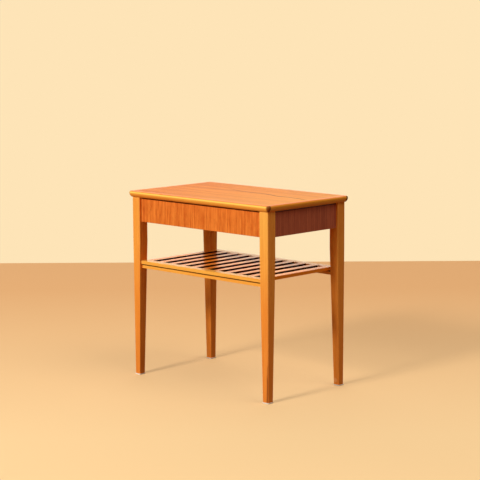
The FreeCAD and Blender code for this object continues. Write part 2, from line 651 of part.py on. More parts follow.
def drawer_side():
    """The right drawer side, grooved for its runner."""
    x = (DRAWER_INNER_X, DRAWER_OUTER_X)
    z = (DRAWER_SIDE_BOTTOM, DRAWER_SIDE_TOP)
    board = block(x, (DRAWER_FRONT_REAR, DRAWER_REAR), z)
    board = joined([board] + front_tails(0))
    half_groove = RUNNER_GROOVE_HEIGHT / 2
    groove_start = -RUNNER_HALF_LENGTH - RUNNER_GROOVE_START_GAP
    runner_groove = block(
        (DRAWER_OUTER_X - RUNNER_GROOVE_DEPTH, DRAWER_OUTER_X),
        (groove_start, DRAWER_REAR),
        (RUNNER_LEVEL - half_groove, RUNNER_LEVEL + half_groove))
    slot_x = (DRAWER_INNER_X, DRAWER_INNER_X + DIVIDER_HOUSING + JOINT_FIT)
    slot = divider_slot(slot_x, around(LONG_DIVIDER_Y, JOINT_FIT))
    tail_groove = bottom_groove().translated(FreeCAD.Vector(0, -TAIL_LENGTH, 0))
    return cut_all(board, back_pins(JOINT_FIT) + [runner_groove, bottom_groove(), tail_groove, slot])


def drawer_back():
    """The drawer back, pinned into both sides above the bottom panel."""
    x = (-DRAWER_INNER_X, DRAWER_INNER_X)
    board = block(x, (DRAWER_BACK_FACE, DRAWER_REAR), (DRAWER_BOTTOM_LEVEL, DRAWER_SIDE_TOP))
    pins = back_pins(0)
    pins += [flipped(pin, X_AXIS) for pin in pins]
    slot_y = (DRAWER_BACK_FACE, DRAWER_BACK_FACE + DIVIDER_HOUSING + JOINT_FIT)
    slots = [divider_slot(around(x_middle, JOINT_FIT), slot_y) for x_middle in rear_divider_positions()]
    return cut_all(joined([board] + pins), slots + bottom_nails(SCREW_FIT))


def drawer_bottom():
    """The thin bottom panel, nailed up into the drawer back."""
    half = DRAWER_INNER_X + DRAWER_GROOVE_DEPTH - GROOVE_FIT
    y = (DRAWER_FRONT_REAR - DRAWER_GROOVE_DEPTH + GROOVE_FIT, DRAWER_REAR)
    panel = block((-half, half), y, (DRAWER_BOTTOM_UNDERSIDE, DRAWER_BOTTOM_LEVEL))
    return cut_all(panel, bottom_nails(SCREW_FIT))


def bottom_nails(grow):
    """The nails through the drawer bottom, or their holes."""
    nails = []
    for x in (-BOTTOM_NAIL_X, 0, BOTTOM_NAIL_X):
        point = FreeCAD.Vector(x, DRAWER_BACK_MIDDLE, DRAWER_BOTTOM_UNDERSIDE)
        nails.append(nail(BOTTOM_NAIL, point, grow))
    return nails


def rear_divider_positions():
    """The middles of the rear dividers along X."""
    middle = REAR_COMPARTMENT_COUNT / 2
    return [(number - middle) * REAR_DIVIDER_PITCH for number in range(1, REAR_COMPARTMENT_COUNT)]


def long_divider():
    """The divider along the drawer, housed for the short dividers."""
    half = DRAWER_INNER_X + DIVIDER_HOUSING
    y = around(LONG_DIVIDER_Y, 0)
    board = block((-half, half), y, (DRAWER_BOTTOM_LEVEL, DIVIDER_TOP))
    depth = LONG_DIVIDER_HOUSING + JOINT_FIT
    slots = [divider_slot(around(x, JOINT_FIT), (y[1] - depth, y[1])) for x in rear_divider_positions()]
    slots.append(divider_slot(around(0, JOINT_FIT), (y[0], y[0] + depth)))
    return cut_all(board, slots)


def rear_divider(x):
    """A short divider from the long divider to the drawer back."""
    y = (around(LONG_DIVIDER_Y, 0)[1] - LONG_DIVIDER_HOUSING, DRAWER_BACK_FACE + DIVIDER_HOUSING)
    return block(around(x, 0), y, (DRAWER_BOTTOM_LEVEL, DIVIDER_TOP))


def front_divider():
    """The short divider from the drawer front to the long divider."""
    y = (DRAWER_FRONT_REAR - DIVIDER_HOUSING, around(LONG_DIVIDER_Y, 0)[0] + LONG_DIVIDER_HOUSING)
    return block(around(0, 0), y, (DRAWER_BOTTOM_LEVEL, DIVIDER_TOP))


# ---- drawer runners, stops and catches ----
def runner(screw_holes):
    """The right runner strip, screwed to the side apron."""
    half = RUNNER_HEIGHT / 2
    x = (RUNNER_INNER, SIDE_APRON_INNER)
    y = (-RUNNER_HALF_LENGTH, RUNNER_HALF_LENGTH)
    return cut_all(block(x, y, (RUNNER_LEVEL - half, RUNNER_LEVEL + half)), screw_holes)


def runner_screw_points():
    """The heads of the screws in the right runner."""
    return [FreeCAD.Vector(RUNNER_INNER, y, RUNNER_LEVEL) for y in (-RUNNER_SCREW_Y, 0, RUNNER_SCREW_Y)]


def rear_stop():
    """The right block on the back apron that the closed drawer meets."""
    x = (STOP_X - STOP_WIDTH / 2, STOP_X + STOP_WIDTH / 2)
    y = (BACK_APRON_INNER - STOP_THICKNESS, BACK_APRON_INNER)
    z = (RUNNER_LEVEL - STOP_HEIGHT / 2, RUNNER_LEVEL + STOP_HEIGHT / 2)
    return eased(block(x, y, z), Y_AXIS)


def catch_screw_point():
    """The head of the screw in the right drawer catch."""
    return FreeCAD.Vector(CATCH_X, CATCH_REAR - CATCH_DEPTH / 2, CATCH_BOTTOM)


def drawer_catch(screw_holes):
    """The right block under the front cross rail that stops the open drawer."""
    x = (CATCH_X - CATCH_WIDTH / 2, CATCH_X + CATCH_WIDTH / 2)
    y = (CATCH_REAR - CATCH_DEPTH, CATCH_REAR)
    return cut_all(block(x, y, (CATCH_BOTTOM, CROSS_RAIL_BOTTOM)), screw_holes)


# ---- stretchers and shelf ----
def stretcher(screw_holes):
    """The rear stretcher, with shoulders that follow the leg taper."""
    low = tapered_face(STRETCHER_BOTTOM)
    high = tapered_face(STRETCHER_TOP)
    body = prism([
        FreeCAD.Vector(-low, STRETCHER_INNER_Y, STRETCHER_BOTTOM),
        FreeCAD.Vector(low, STRETCHER_INNER_Y, STRETCHER_BOTTOM),
        FreeCAD.Vector(high, STRETCHER_INNER_Y, STRETCHER_TOP),
        FreeCAD.Vector(-high, STRETCHER_INNER_Y, STRETCHER_TOP),
    ], Y_AXIS * STRETCHER_WIDTH)
    reach = LEG_INNER_X + STRETCHER_TENON_LENGTH
    return cut_all(joined([body, stretcher_tenon((-reach, reach), 0)]), screw_holes)


def slat_positions():
    """The middles of the shelf slats along X."""
    return [number * SLAT_PITCH - SLAT_OUTERMOST_X for number in range(SLAT_COUNT)]


def slat_tenons(x, grow):
    """The tenons of one slat as a single bar, or its two mortises."""
    half_width = SLAT_TENON_WIDTH / 2 + grow
    half_length = SHELF_BOARD_INNER_Y + SLAT_TENON_LENGTH + grow
    middle = (STRETCHER_TOP + SHELF_TOP) / 2
    half_thickness = SLAT_TENON_THICKNESS / 2 + grow
    return block(
        (x - half_width, x + half_width),
        (-half_length, half_length),
        (middle - half_thickness, middle + half_thickness))


def slat(x):
    """One shelf slat with a tenon at each end."""
    half = SLAT_WIDTH / 2
    y = (-SHELF_BOARD_INNER_Y, SHELF_BOARD_INNER_Y)
    bar = eased(block((x - half, x + half), y, (STRETCHER_TOP, SHELF_TOP)), Y_AXIS)
    return joined([bar, slat_tenons(x, 0)])


def shelf_board(screw_holes):
    """The rear shelf board, mortised for the slats."""
    x = (-SHELF_BOARD_HALF_LENGTH, SHELF_BOARD_HALF_LENGTH)
    y = (SHELF_BOARD_INNER_Y, SHELF_BOARD_OUTER_Y)
    board = block(x, y, (STRETCHER_TOP, SHELF_TOP))
    outer_edges = []
    for edge in board.Edges:
        if edge.BoundBox.YMin > SHELF_BOARD_OUTER_Y - 1 and edge.Length > SHELF_BOARD_HALF_LENGTH:
            outer_edges.append(edge)
    board = board.makeFillet(EASED_EDGE, outer_edges)
    mortises = [slat_tenons(position, JOINT_FIT) for position in slat_positions()]
    return cut_all(board, mortises + screw_holes)


# ---- fastener positions ----
top_screws = []
top_screw_holes = []
for row in TOP_SCREW_ROWS:
    for column in (-TOP_SCREW_X, 0, TOP_SCREW_X):
        head = FreeCAD.Vector(column, row, CROSS_RAIL_BOTTOM)
        top_screws.append(screw(TOP_SCREW, head, Z_AXIS))
        top_screw_holes.append(screw_hole(TOP_SCREW, head, Z_AXIS))

right_runner_screws = [screw(RUNNER_SCREW, head, X_AXIS) for head in runner_screw_points()]
right_runner_holes = [screw_hole(RUNNER_SCREW, head, X_AXIS) for head in runner_screw_points()]
left_runner_screws = [flipped(item, X_AXIS) for item in right_runner_screws]

right_catch_screw = screw(CATCH_SCREW, catch_screw_point(), Z_AXIS)
right_catch_hole = screw_hole(CATCH_SCREW, catch_screw_point(), Z_AXIS)
catch_screws = [right_catch_screw, flipped(right_catch_screw, X_AXIS)]
catch_holes = [right_catch_hole, flipped(right_catch_hole, X_AXIS)]

rear_shelf_screws = []
rear_shelf_holes = []
for column in (-SHELF_SCREW_X, 0, SHELF_SCREW_X):
    head = FreeCAD.Vector(column, SHELF_SCREW_Y, STRETCHER_BOTTOM)
    rear_shelf_screws.append(screw(SHELF_SCREW, head, Z_AXIS))
    rear_shelf_holes.append(screw_hole(SHELF_SCREW, head, Z_AXIS))
front_shelf_screws = [flipped(item, Y_AXIS) for item in rear_shelf_screws]

side_dowels = [dowel(point, Y_AXIS) for point in side_dowel_points()]
side_dowel_holes = [dowel_hole(point, Y_AXIS) for point in side_dowel_points()]
back_dowels = [dowel(point, X_AXIS) for point in back_dowel_points()]
back_dowel_holes = [dowel_hole(point, X_AXIS) for point in back_dowel_points()]

# ---- pieces ----
os.makedirs("parts", exist_ok=True)

save("top_core", top_core(top_screw_holes))
save("top_veneer", veneer(CORE_TOP, []))
save("underside_veneer", veneer(TOP_UNDERSIDE, top_screw_holes))
back_moulding = long_moulding()
right_moulding = side_moulding()
save("edge_moulding_back", back_moulding)
save("edge_moulding_front", flipped(back_moulding, Y_AXIS))
save("edge_moulding_right", right_moulding)
save("edge_moulding_left", flipped(right_moulding, X_AXIS))

back_right_leg = leg(side_dowel_holes + back_dowel_holes)
front_right_leg = flipped(leg(side_dowel_holes), Y_AXIS)
save("leg_back_right", back_right_leg)
save("leg_back_left", flipped(back_right_leg, X_AXIS))
save("leg_front_right", front_right_leg)
save("leg_front_left", flipped(front_right_leg, X_AXIS))

back_right_pad = foot_pad()
front_right_pad = flipped(back_right_pad, Y_AXIS)
back_right_nail = nail(PAD_NAIL, pad_nail_point())
front_right_nail = flipped(back_right_nail, Y_AXIS)
right_nails = [back_right_nail, front_right_nail]
save("foot_pad_back_right", back_right_pad)
save("foot_pad_back_left", flipped(back_right_pad, X_AXIS))
save("foot_pad_front_right", front_right_pad)
save("foot_pad_front_left", flipped(front_right_pad, X_AXIS))
save("foot_pad_nails", right_nails + [flipped(item, X_AXIS) for item in right_nails])

apron_holes = side_dowel_holes + [flipped(item, Y_AXIS) for item in side_dowel_holes]
right_apron = side_apron(apron_holes, right_runner_holes)
save("side_apron_right", right_apron)
save("side_apron_left", flipped(right_apron, X_AXIS))
save("back_apron", back_apron(back_dowel_holes + [flipped(item, X_AXIS) for item in back_dowel_holes]))
right_dowels = side_dowels + [flipped(item, Y_AXIS) for item in side_dowels] + back_dowels
save("apron_dowels", right_dowels + [flipped(item, X_AXIS) for item in right_dowels])

front_rail_y = (FRONT_CROSS_RAIL_START, FRONT_CROSS_RAIL_END)
rear_rail_y = (REAR_CROSS_RAIL_START, REAR_CROSS_RAIL_END)
save("cross_rail_front", cross_rail(front_rail_y, top_screw_holes + catch_holes))
save("cross_rail_rear", cross_rail(rear_rail_y, top_screw_holes))
save("top_screws", top_screws)

right_runner = runner(right_runner_holes)
save("drawer_runner_right", right_runner)
save("drawer_runner_left", flipped(right_runner, X_AXIS))
save("runner_screws", right_runner_screws + left_runner_screws)
save("drawer_stop_right", rear_stop())
save("drawer_stop_left", flipped(rear_stop(), X_AXIS))
right_catch = drawer_catch([right_catch_hole])
save("drawer_catch_right", right_catch)
save("drawer_catch_left", flipped(right_catch, X_AXIS))
save("catch_screws", catch_screws)

right_side = drawer_side()
save("drawer_front", drawer_front())
save("drawer_side_right", right_side)
save("drawer_side_left", flipped(right_side, X_AXIS))
save("drawer_back", drawer_back())
save("drawer_bottom", drawer_bottom())
save("drawer_bottom_nails", bottom_nails(0))
save("drawer_long_divider", long_divider())
save("drawer_front_divider", front_divider())
for number, position in enumerate(rear_divider_positions(), start=1):
    save("drawer_rear_divider_%d" % number, rear_divider(position))

rear_stretcher = stretcher(rear_shelf_holes)
rear_board = shelf_board(rear_shelf_holes)
save("stretcher_rear", rear_stretcher)
save("stretcher_front", flipped(rear_stretcher, Y_AXIS))
save("shelf_board_rear", rear_board)
save("shelf_board_front", flipped(rear_board, Y_AXIS))
save("shelf_screws", rear_shelf_screws + front_shelf_screws)
for number, position in enumerate(slat_positions(), start=1):
    save("shelf_slat_%02d" % number, slat(position))
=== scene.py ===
import itertools
import math

import bpy
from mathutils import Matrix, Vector


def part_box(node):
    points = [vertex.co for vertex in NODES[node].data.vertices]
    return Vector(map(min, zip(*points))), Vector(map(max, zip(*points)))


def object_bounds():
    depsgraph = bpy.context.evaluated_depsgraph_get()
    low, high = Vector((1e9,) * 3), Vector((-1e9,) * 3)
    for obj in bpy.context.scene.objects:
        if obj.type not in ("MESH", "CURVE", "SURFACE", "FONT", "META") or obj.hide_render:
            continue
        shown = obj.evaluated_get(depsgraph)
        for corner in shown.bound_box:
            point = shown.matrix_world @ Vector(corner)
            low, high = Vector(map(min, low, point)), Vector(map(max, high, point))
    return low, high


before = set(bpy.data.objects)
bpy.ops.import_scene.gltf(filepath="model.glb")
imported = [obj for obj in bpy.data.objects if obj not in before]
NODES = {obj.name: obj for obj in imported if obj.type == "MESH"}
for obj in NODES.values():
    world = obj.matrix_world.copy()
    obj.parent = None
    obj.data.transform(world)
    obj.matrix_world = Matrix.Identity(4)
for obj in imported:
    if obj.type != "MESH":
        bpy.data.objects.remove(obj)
CAD_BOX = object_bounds()
LOWEST, HIGHEST = CAD_BOX

# Sizes and places are in metres. Colours are as a screen shows them, 0 to 255.

# ---- the camera, with its turn in degrees and its lens in millimetres ----
CAMERA_PLACE = (3.0675, -3.1079, 1.0275)
CAMERA_TURN = (81.748, 0.291, 44.476)
CAMERA_LENS = 119.58
CAMERA_SENSOR = 36.0

# ---- the lamps ----
# The key lamp's strength is the light that it gives the object, as a sun's strength is.
KEY_PLACE = (0.1, -5.6, 3.6)
KEY_WIDTH = 1.2
KEY_STRENGTH = 2.42
# The broad lamps: the direction that each shines from, its strength and its spread in degrees.
BROAD_LAMPS = {
    "front_fill": ((0.0, -0.86, 0.52), 0.45, 38.0),
    "overhead": ((-0.25, 0.15, 1.0), 0.25, 50.0),
    "right_fill": ((0.55, 0.05, 0.8), 0.92, 36.0),
    "back_fill": ((-0.75, 0.55, 0.35), 1.0, 60.0),
}
LAMP_COLOUR = (255, 248, 236)

# ---- the room ----
AMBIENT_COLOUR = (255, 226, 190)
AMBIENT_STRENGTH = 0.04
WALL_COLOUR = (254, 228, 183)
FLOOR_REACH = 2.09
# The floor darkens between these distances, from in front of the object to behind it, as painted light
# falloff.
FLOOR_FADE = (-0.6, 0.7 * FLOOR_REACH)
FLOOR_NEAR = (255, 217, 162)
FLOOR_FAR = (240, 184, 126)
# How much of its colour the lamps light, so that it takes a shadow, and how much glows by itself.
FLOOR_LIT = 0.5
FLOOR_GLOW = 0.43
# The colour of the light that it throws back on the object.
FLOOR_GIVEN_BACK = (136, 97, 62)

# ---- the colours that marks mix into the timber ----
# Painted shade: this dark tint stands for the shade in the seams under overhangs and between the slats.
SHADE_TINT = (34, 15, 8)             # in the seams and between the slats
VENEER_TINT = (236, 126, 44)        # on the flat of the mouldings, beside the veneer
# Painted highlights: the next two tints lighten the rounds of the mouldings where the lamps catch them.
LONG_HIGHLIGHT_TINT = (255, 222, 108)       # on the round of the long mouldings
SIDE_HIGHLIGHT_TINT = (255, 166, 52)   # on the round of the side mouldings
FOOT_TINT = (216, 106, 36)          # on the legs, towards the floor
CORNER_DARK_TINT = (110, 44, 12)          # up one corner of the front right leg
SCUFF_TINT = (246, 170, 104)        # at the foot of the back right leg
BLEACHED_TINT = (255, 190, 96)      # over the top, towards its right end
# Painted light: this tint lightens the lit fronts of the front legs.
FRONT_LIGHT_TINT = (255, 214, 104)        # on the fronts of the front legs, towards the top
MINERAL_TINT = (128, 34, 10)        # along the dark line in the top

# ---- how the grain lies ----
# The turn that lays each axis of the table along X, where the timber's grain runs.
GRAIN_TURNS = {
    "x": (0.0, 0.0, 0.0),
    "y": (0.0, 0.0, -math.pi / 2),
    "z": (0.0, math.pi / 2, 0.0),
}
# Each piece is cut from the next part of the log, this much further on.
LOG_STEP = (0.83, 0.37, 0.21)
LOG_PARTS = itertools.count(1)
# Most of a noise lies between these.
NOISE_RANGE = (0.3, 0.7)


def linear(colour):
    """A screen colour, 0 to 255, as the linear one that Blender uses."""
    parts = [c / 255 for c in colour]
    return tuple(p / 12.92 if p <= 0.04045 else ((p + 0.055) / 1.055) ** 2.4 for p in parts) + (1.0,)


class Graph:
    """The node tree of a new material or world, built up by short calls."""

    def __init__(self, owner):
        owner.use_nodes = True
        self.owner = owner
        self.tree = owner.node_tree

    def set(self, socket, value):
        """Links a socket to another, or gives it a plain value."""
        if isinstance(value, bpy.types.NodeSocket):
            self.tree.links.new(value, socket)
        else:
            socket.default_value = value

    def node(self, kind, inputs=None, **settings):
        """A new node with its settings and its inputs, which are named or numbered."""
        made = self.tree.nodes.new("ShaderNode" + kind)
        for key, value in settings.items():
            setattr(made, key, value)
        for key, value in (inputs or {}).items():
            self.set(made.inputs[key], value)
        return made

    def place(self):
        """Each point's place on the object."""
        return self.node("TexCoord").outputs["Object"]

    def facing(self):
        """The direction that the surface faces at each point."""
        return self.node("TexCoord").outputs["Normal"]

    def parts(self, vector):
        """The three numbers of a vector."""
        return self.node("SeparateXYZ", {0: vector}).outputs

    def math(self, operation, first, second=0.0, third=0.0):
        """One sum on numbers."""
        return self.node("Math", {0: first, 1: second, 2: third}, operation=operation).outputs[0]

    def vectors(self, operation, first, second=(0.0, 0.0, 0.0)):
        """One sum on vectors, which gives a vector or, for some sums, a number."""
        made = self.node("VectorMath", {0: first, 1: second}, operation=operation)
        return made.outputs["Value" if operation in ("DOT_PRODUCT", "DISTANCE") else "Vector"]

    def noise(self, vector, scale, detail=2.0, roughness=0.5, distortion=0.0):
        """Noise of 0 to 1, with a scale of its own along each axis."""
        inputs = {
            "Vector": self.vectors("MULTIPLY", vector, scale),
            "Scale": 1.0,
            "Detail": detail,
            "Roughness": roughness,
            "Distortion": distortion,
        }
        return self.node("TexNoise", inputs).outputs["Fac"]

    def spread(self, value, low, high, to_low=0.0, to_high=1.0, smooth=False):
        """Maps a value from one range to another, held within it."""
        inputs = {"Value": value, "From Min": low, "From Max": high, "To Min": to_low, "To Max": to_high}
        kind = "SMOOTHSTEP" if smooth else "LINEAR"
        return self.node("MapRange", inputs, interpolation_type=kind, clamp=True).outputs["Result"]

    def mix(self, share, first, second):
        """Two colours mixed, with this share of the second."""
        made = self.node("Mix", data_type="RGBA", blend_type="MIX")
        self.set(made.inputs["Factor"], share)
        self.set(made.inputs["A"], first)
        self.set(made.inputs["B"], second)
        return made.outputs["Result"]

    def bump(self, height, distance):
        """A normal bent by a height, which is 0 to 1 of the distance in metres."""
        inputs = {"Height": height, "Distance": distance, "Strength": 1.0}
        return self.node("Bump", inputs).outputs["Normal"]

    def finish(self, **values):
        """Sets the shader's sockets by their names, with underscores for spaces, and gives the material."""
        shader = self.tree.nodes["Principled BSDF"]
        for key, value in values.items():
            self.set(shader.inputs[key.replace("_", " ")], value)
        return self.owner


# ---- timber ----
# The tone runs from the pale colour to the deep one. Pores and end grain take the line colour, and rubbed
# edges the worn one. "rings", "bands", "mottle", "streaks" and "fibres" say how much of the tone each takes,
# and "pores", "end_grain" and "wear" how strong those are. "heart" is the middle of the rings, seen along
# the grain from the middle of the piece. "lean" is how far it moves aside per metre, and "wander" how far
# the rings stray. "edge" is how far in an edge is rubbed, "rough" the least and the most roughness, "gloss"
# the specular level and "relief" the depth of the grain.
TEAK_VENEER = {
    "pale": (247, 147, 51), "deep": (204, 88, 17), "line": (150, 56, 18), "worn": (255, 176, 92),
    "rings": 0.45, "ring_width": 0.0055, "lean": 0.10, "wander": 0.012, "heart": (0.16, -0.20),
    "bands": 0.5, "mottle": 0.15, "streaks": 0.6, "fibres": 0.35, "pores": 0.5, "end_grain": 0.5,
    "wear": 0.0, "edge": 0.0008, "rough": (0.46, 0.58), "gloss": 0.03, "relief": 0.00010,
}
TEAK_FRONT = dict(
    TEAK_VENEER, pale=(244, 140, 56), deep=(200, 90, 26), line=(104, 36, 10), gloss=0.08, wear=0.25,
    rings=0.25, ring_width=0.0052, lean=0.05, wander=0.004, heart=(0.16, 0.21),
    bands=0.25, mottle=0.45, streaks=0.65, fibres=0.5, pores=0.7,
)
# Painted shade: the aprons take a darker copy of the drawer front's teak.
TEAK_SHADED_APRON = dict(
    TEAK_FRONT, pale=(196, 104, 72), deep=(156, 74, 54), lean=0.04, heart=(0.3, 0.35), gloss=0.14,
    streaks=0.4, mottle=0.2,
)
TEAK_SOLID = dict(
    TEAK_VENEER, pale=(255, 170, 70), deep=(234, 128, 40), line=(180, 80, 20), worn=(255, 190, 96),
    rings=0.4, ring_width=0.0042, lean=0.012, wander=0.003, heart=(0.05, 0.07), streaks=0.4,
    pores=0.4, wear=0.3, edge=0.0035, gloss=0.1,
)
TEAK_MOULDING = dict(
    TEAK_SOLID, pale=(255, 176, 72), deep=(244, 142, 46), line=(120, 44, 14), edge=0.0008, wear=0.2,
    rough=(0.32, 0.42), gloss=0.06, end_grain=0.9,
)
TEAK_SHELF = dict(
    TEAK_SOLID, pale=(255, 190, 82), deep=(246, 152, 52), line=(170, 70, 20), edge=0.0008,
    rough=(0.22, 0.3), gloss=0.04,
)
TEAK_SLAT = dict(TEAK_SHELF, pale=(255, 152, 36), deep=(246, 124, 24))
BEECH = dict(
    TEAK_SOLID, pale=(236, 202, 154), deep=(206, 162, 112), line=(166, 114, 70), worn=(240, 212, 168),
    rings=0.3, ring_width=0.0034, heart=(0.07, 0.09), bands=0.3, streaks=0.3, fibres=0.3, pores=0.25,
    end_grain=0.35, wear=0.2, edge=0.0008, rough=(0.42, 0.55), gloss=0.2, relief=0.00006,
)


def grain_noise(g, log_place, along, across, detail=3.0, roughness=0.5):
    """Noise with one scale along the grain and another across it, per metre."""
    return g.noise(log_place, (along, across, across), detail, roughness)


def growth_rings(g, grain_place, log_place, style):
    """Late wood of 0 to 1, on rings round a heart that leans a little as it runs along the piece."""
    sway = grain_noise(g, log_place, along=2.2, across=14.0, detail=2.0)
    ripple = grain_noise(g, log_place, along=9.0, across=70.0)
    x, y, z = g.parts(grain_place)
    heart_y, heart_z = style["heart"]
    dy = g.math("ADD", g.math("SUBTRACT", y, heart_y), g.math("MULTIPLY", x, style["lean"]))
    dz = g.math("SUBTRACT", z, heart_z)
    squares = g.math("ADD", g.math("MULTIPLY", dy, dy), g.math("MULTIPLY", dz, dz))
    radius = g.math("MULTIPLY_ADD", sway, style["wander"], g.math("SQRT", squares))
    radius = g.math("MULTIPLY_ADD", ripple, 0.15 * style["wander"], radius)
    phase = g.math("FRACT", g.math("DIVIDE", radius, style["ring_width"]))
    early_end, late_end = 0.2, 0.92
    rise = g.spread(phase, early_end, late_end, smooth=True)
    fall = g.spread(phase, late_end, 1.0, 1.0, 0.0)
    loud = grain_noise(g, log_place, along=1.5, across=50.0, detail=1.0)
    return g.math("MULTIPLY", g.math("MINIMUM", rise, fall), g.spread(loud, *NOISE_RANGE, 0.25, 1.0))


def edge_wear(g, centred, size, edge, log_place):
    """Rubbed wood, 0 to 1, where two faces of a piece of this size meet."""
    beyond = g.vectors("SUBTRACT", g.vectors("ABSOLUTE", centred), size / 2)
    x, y, z = g.parts(beyond)
    pairs = [g.math("MINIMUM", x, y), g.math("MINIMUM", y, z), g.math("MINIMUM", x, z)]
    nearest = g.math("MAXIMUM", g.math("MAXIMUM", pairs[0], pairs[1]), pairs[2])
    fully_rubbed = -0.2 * edge
    untouched = fully_rubbed - 0.9 * edge - 0.0006
    rubbed = g.spread(nearest, untouched, fully_rubbed, smooth=True)
    patchy = grain_noise(g, log_place, along=30.0, across=120.0)
    return g.math("MULTIPLY", rubbed, g.spread(patchy, 0.25, 0.6, 0.45, 1.0))


def end_grain(g, grain):
    """Wood cut across its length, 0 to 1, which takes up more oil and turns darker."""
    facing = g.math("ABSOLUTE", g.parts(g.facing())[grain.upper()])
    return g.spread(facing, 0.1, 0.65, smooth=True)


def facing_front(g):
    """The faces that look to the front of the table, 0 to 1."""
    return g.spread(g.parts(g.facing())["Y"], -0.9, -0.4, 1.0, 0.0)


def timber(node, grain, style, marks=()):
    """Sawn timber for one piece: rings, bands, streaks, fibres and pores that run along one axis.

    Each mark is a function that gives its share, 0 to 1, and the colour that it mixes in."""
    g = Graph(bpy.data.materials.new(node))
    low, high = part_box(node)
    place = g.place()
    centred = g.vectors("SUBTRACT", place, (low + high) / 2)
    turned = {"Vector": centred, "Rotation": GRAIN_TURNS[grain]}
    grain_place = g.node("Mapping", turned, vector_type="POINT").outputs["Vector"]
    log_part = next(LOG_PARTS)
    log_place = g.vectors("ADD", grain_place, [step * log_part for step in LOG_STEP])

    ring = growth_rings(g, grain_place, log_place, style)
    fibre = grain_noise(g, log_place, along=14.0, across=700.0, detail=4.0, roughness=0.6)
    fibre = g.spread(fibre, *NOISE_RANGE)
    layers = {
        "rings": ring,
        "bands": g.spread(grain_noise(g, log_place, along=1.6, across=34.0), *NOISE_RANGE),
        "mottle": g.spread(grain_noise(g, log_place, along=30.0, across=110.0, detail=4.0), *NOISE_RANGE),
        "streaks": g.spread(grain_noise(g, log_place, along=5.0, across=210.0), 0.32, 0.68),
        "fibres": fibre,
    }
    tone = 0.5 - sum(style[layer] for layer in layers) / 2
    for layer, amount in layers.items():
        tone = g.math("MULTIPLY_ADD", amount, style[layer], tone)
    colour = g.mix(g.spread(tone, 0.0, 1.0), linear(style["pale"]), linear(style["deep"]))

    dash = g.spread(grain_noise(g, log_place, along=70.0, across=1400.0, detail=1.0), 0.6, 0.72)
    pore = g.math("MULTIPLY", dash, g.spread(ring, 0.0, 0.8, 0.45, 1.0))
    colour = g.mix(g.math("MULTIPLY", pore, style["pores"]), colour, linear(style["line"]))
    worn = edge_wear(g, centred, high - low, style["edge"], log_place)
    colour = g.mix(g.math("MULTIPLY", worn, style["wear"]), colour, linear(style["worn"]))
    for share, tint in marks:
        colour = g.mix(share(g, place), colour, linear(tint))
    ends = g.math("MULTIPLY", end_grain(g, grain), style["end_grain"])
    colour = g.mix(ends, colour, linear(style["line"]))

    least_rough, most_rough = style["rough"]
    height = g.math("MULTIPLY_ADD", pore, -1.0, g.math("MULTIPLY", fibre, 0.35))
    return g.finish(
        Base_Color=colour,
        Roughness=g.spread(g.math("ADD", fibre, pore), 0.0, 1.6, least_rough, most_rough),
        Normal=g.bump(height, style["relief"]),
        Specular_IOR_Level=style["gloss"],
    )


# ---- marks on the timber: each gives a function, which works out the mark's share at a place, 0 to 1 ----
def mineral_line(start, end, width, sway, depth):
    """A dark line in the veneer, which sways from one point of the top to another and fades at its ends."""
    start, end = Vector(start), Vector(end)
    length = (end - start).length
    forward = (end - start) / length
    sideways = Vector((-forward.y, forward.x))
    fade = 0.2 * length

    def share(g, place):
        offset = g.vectors("SUBTRACT", place, start.to_3d())
        travelled = g.vectors("DOT_PRODUCT", offset, forward.to_3d())
        aside = g.vectors("DOT_PRODUCT", offset, sideways.to_3d())
        wander = g.noise(place, (11.0, 11.0, 11.0), detail=1.0)
        aside = g.math("MULTIPLY_ADD", g.math("SUBTRACT", wander, 0.5), sway, aside)
        strong = g.spread(g.noise(place, (30.0, 90.0, 30.0), detail=3.0), 0.3, 0.6, 0.6 * depth, depth)
        line = g.spread(g.math("ABSOLUTE", aside), 0.2 * width, width, strong, 0.0, smooth=True)
        begin = g.spread(travelled, -fade, fade, smooth=True)
        stop = g.spread(travelled, length - fade, length + fade, 1.0, 0.0, smooth=True)
        return g.math("MULTIPLY", line, g.math("MULTIPLY", begin, stop))

    return share


def sun_bleach(depth):
    """A top that years of daylight have paled, more and more towards its right end."""
    low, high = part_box("top_veneer")

    def share(g, place):
        return g.spread(g.parts(place)["X"], low.x, high.x, 0.0, depth)

    return share


def gap_shade(outermost):
    """Painted shade on the sides of the slats, apart from the two outermost, which face no slat."""
    limit = outermost - 0.001

    def share(g, place):
        sideways = g.math("ABSOLUTE", g.parts(g.facing())["X"])
        inside = g.math("LESS_THAN", g.math("ABSOLUTE", g.parts(place)["X"]), limit)
        return g.math("MULTIPLY", g.spread(sideways, 0.3, 0.7, 0.0, 0.95), inside)

    return share


def seam_shade(node, reach):
    """Painted shade in the seam above a piece, over the last of its upright faces."""
    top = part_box(node)[1].z

    def share(g, place):
        painted_shade = g.spread(g.parts(place)["Z"], top - reach, top - 0.5 * reach, 0.0, 0.9, smooth=True)
        upright = g.spread(g.parts(g.facing())["Z"], 0.4, 0.8, 1.0, 0.0)
        return g.math("MULTIPLY", painted_shade, upright)

    return share


def floor_deepening(reach, depth):
    """Wood that deepens in colour towards the floor."""
    def share(g, place):
        patchy = g.noise(place, (60.0, 60.0, 9.0), detail=3.0)
        level = g.math("MULTIPLY_ADD", patchy, 0.4 * reach, g.parts(place)["Z"])
        return g.spread(level, 0.0, 1.2 * reach, depth, 0.0)

    return share


def front_light(reach, depth):
    """Painted light on the front of a leg, most of all at its top."""
    def share(g, place):
        paled = g.spread(g.parts(place)["Z"], HIGHEST.z - reach, HIGHEST.z, 0.0, depth)
        return g.math("MULTIPLY", paled, facing_front(g))

    return share


